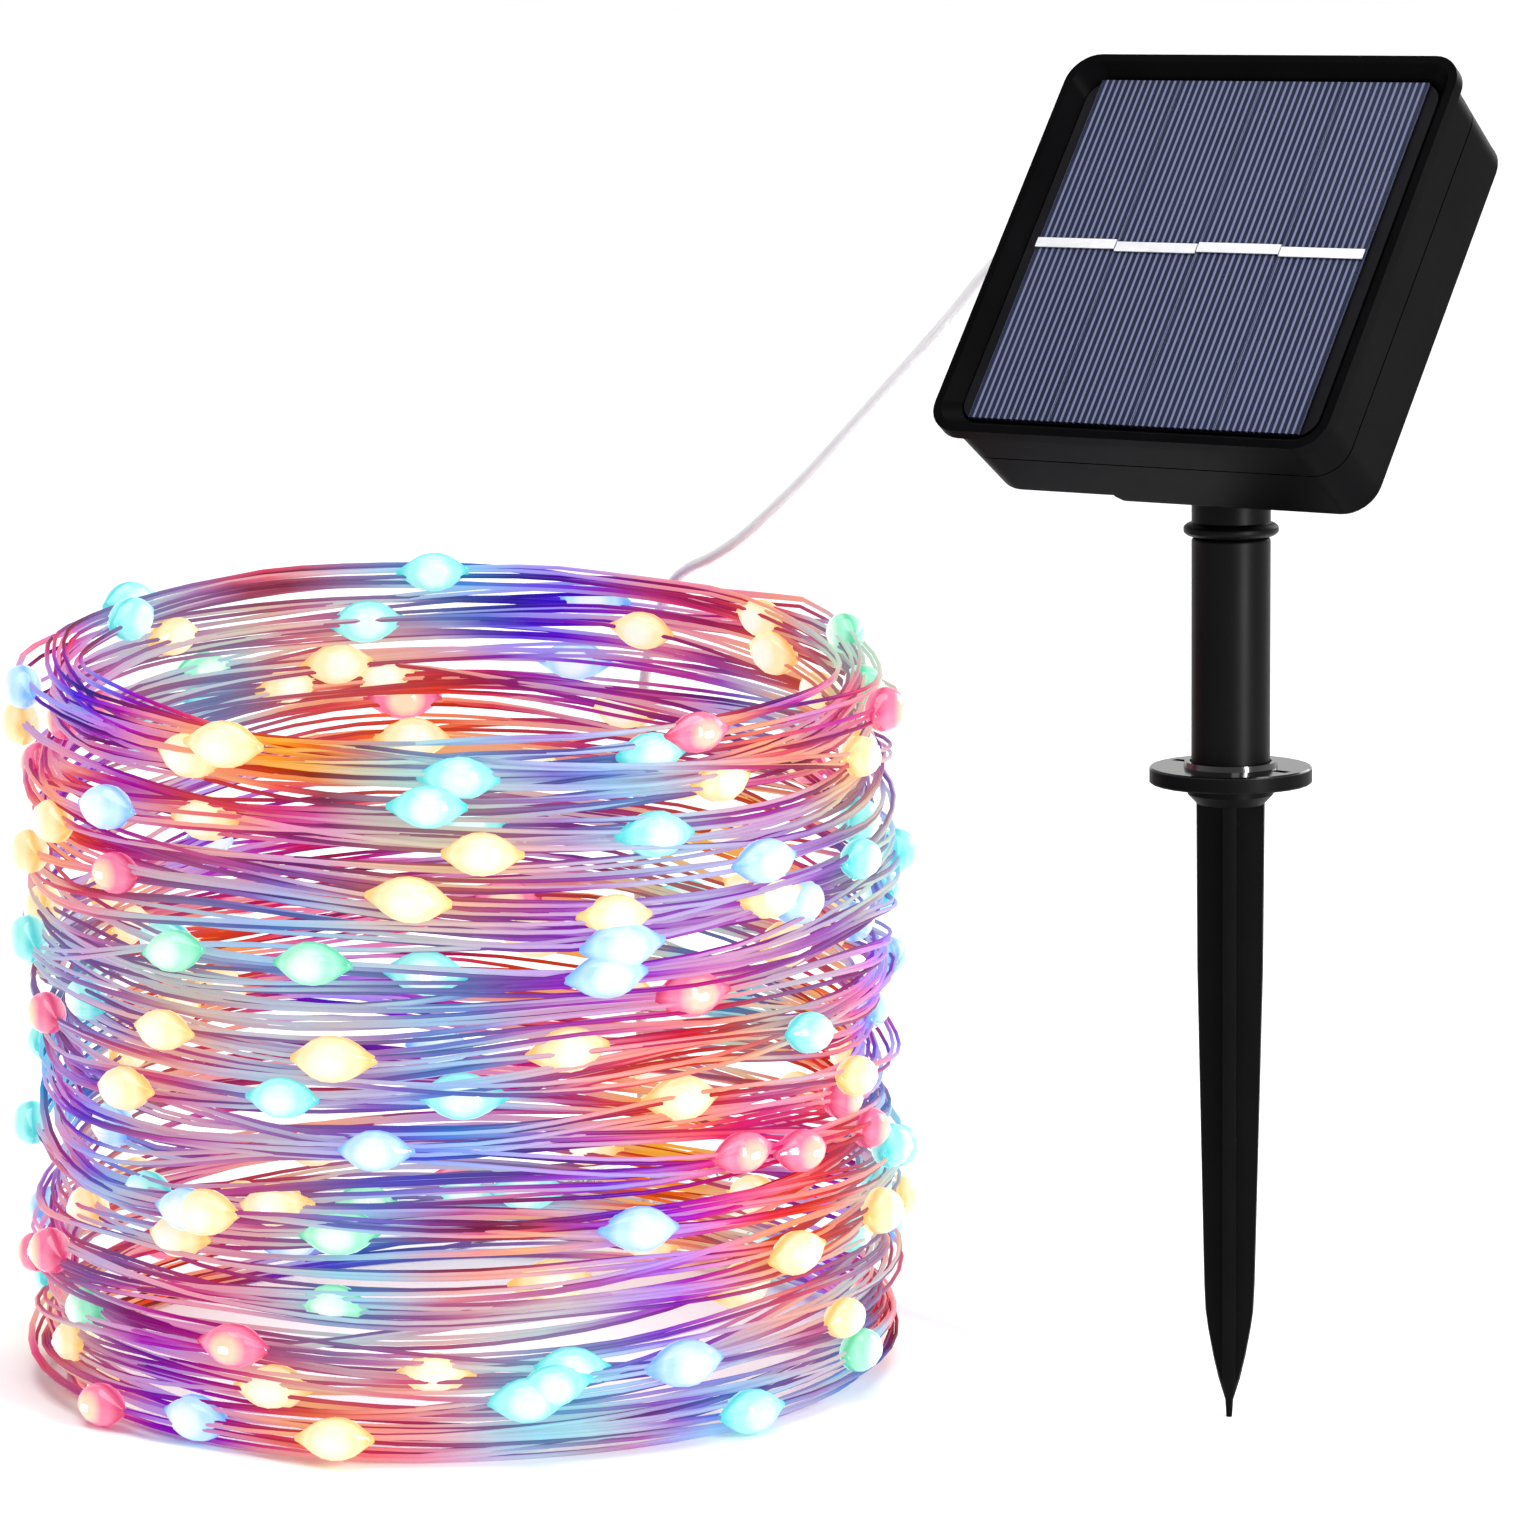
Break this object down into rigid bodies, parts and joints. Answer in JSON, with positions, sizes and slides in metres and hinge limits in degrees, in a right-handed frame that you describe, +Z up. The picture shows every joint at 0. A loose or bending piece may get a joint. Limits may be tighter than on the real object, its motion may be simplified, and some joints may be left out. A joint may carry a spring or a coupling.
{
  "type": "solar string lights",
  "caption": "Solar string lights: a tilting square solar panel on a garden stake, a clear lead and a coil of wire with light drops.",
  "frame": {"origin": "on the stake's axis, at the underside of its round flange, where the soil surface comes in use", "axes": "+Z up along the stake; the panel faces -Y and upwards; the coil of lights lies towards -X"},
  "size_m": [0.2693, 0.2098, 0.2483],
  "materials": {
    "black_plastic": "satin moulded plastic",
    "rubber": "matt rubber",
    "button_rubber": "matt silicone rubber",
    "steel": "plated steel",
    "panel_board": "black laminate",
    "solar_cell": "dark blue silicon with fine silver fingers",
    "tinned_ribbon": "tinned metal strip",
    "circuit_board": "green circuit board",
    "black_component": "moulded component",
    "battery_wrap": "printed sleeve without text over a metal can",
    "wire_red": "insulated wire",
    "wire_black": "insulated wire",
    "clear_lead": "clear flexible plastic over bare wires",
    "light_string": "lacquered copper wires",
    "light_coil": "coiled lacquered copper wires with light drops"
  },
  "bodies": {
    "stake": {"ground_spike": "black_plastic", "pole_tube": "black_plastic", "pole_head": "black_plastic", "lead_cable": "clear_lead", "lead_coil": "clear_lead", "lead_tail": "clear_lead", "junction_sleeve": "clear_lead", "string_start": "light_string", "string_coil": "light_coil"},
    "panel_head": {"battery": "battery_wrap", "battery_plate": "tinned_ribbon", "battery_spring": "steel", "battery_wire_negative": "wire_black", "battery_wire_positive": "wire_red", "bracket_screw_1": "steel", "bracket_screw_2": "steel", "busbar_1": "tinned_ribbon", "busbar_2": "tinned_ribbon", "busbar_3": "tinned_ribbon", "busbar_4": "tinned_ribbon", "cable_grommet": "rubber", "case_screw_1": "steel", "case_screw_2": "steel", "case_screw_3": "steel", "case_screw_4": "steel", "case_seal": "rubber", "circuit_board": "circuit_board", "controller_chip": "black_component", "front_bezel": "black_plastic", "mode_switch": "black_component", "panel_wire_negative": "wire_black", "panel_wire_positive": "wire_red", "power_switch": "black_component", "pv_board": "panel_board", "rear_case": "black_plastic", "solar_cell_1": "solar_cell", "solar_cell_2": "solar_cell", "solar_cell_3": "solar_cell", "solar_cell_4": "solar_cell", "tilt_bolt": "steel", "tilt_bracket": "black_plastic", "tilt_knob": "black_plastic"},
    "power_button": {"power_button": "button_rubber"},
    "mode_button": {"mode_button": "button_rubber"}
  },
  "joints": [
    {"name": "panel_tilt", "type": "hinge", "parent": "stake", "child": "panel_head", "pos_m": [0, 0, 0.0607], "axis": [-1, 0, 0], "range_deg": [-30, 53]},
    {"name": "power_press", "type": "slide", "parent": "panel_head", "child": "power_button", "axis": [0, -0.7986, 0.6018], "range_m": [0, 0.0008], "stiffness_N_per_m": 600, "springref_m": -0.0003},
    {"name": "mode_press", "type": "slide", "parent": "panel_head", "child": "mode_button", "axis": [0, -0.7986, 0.6018], "range_m": [0, 0.0008], "stiffness_N_per_m": 600, "springref_m": -0.0003}
  ]
}
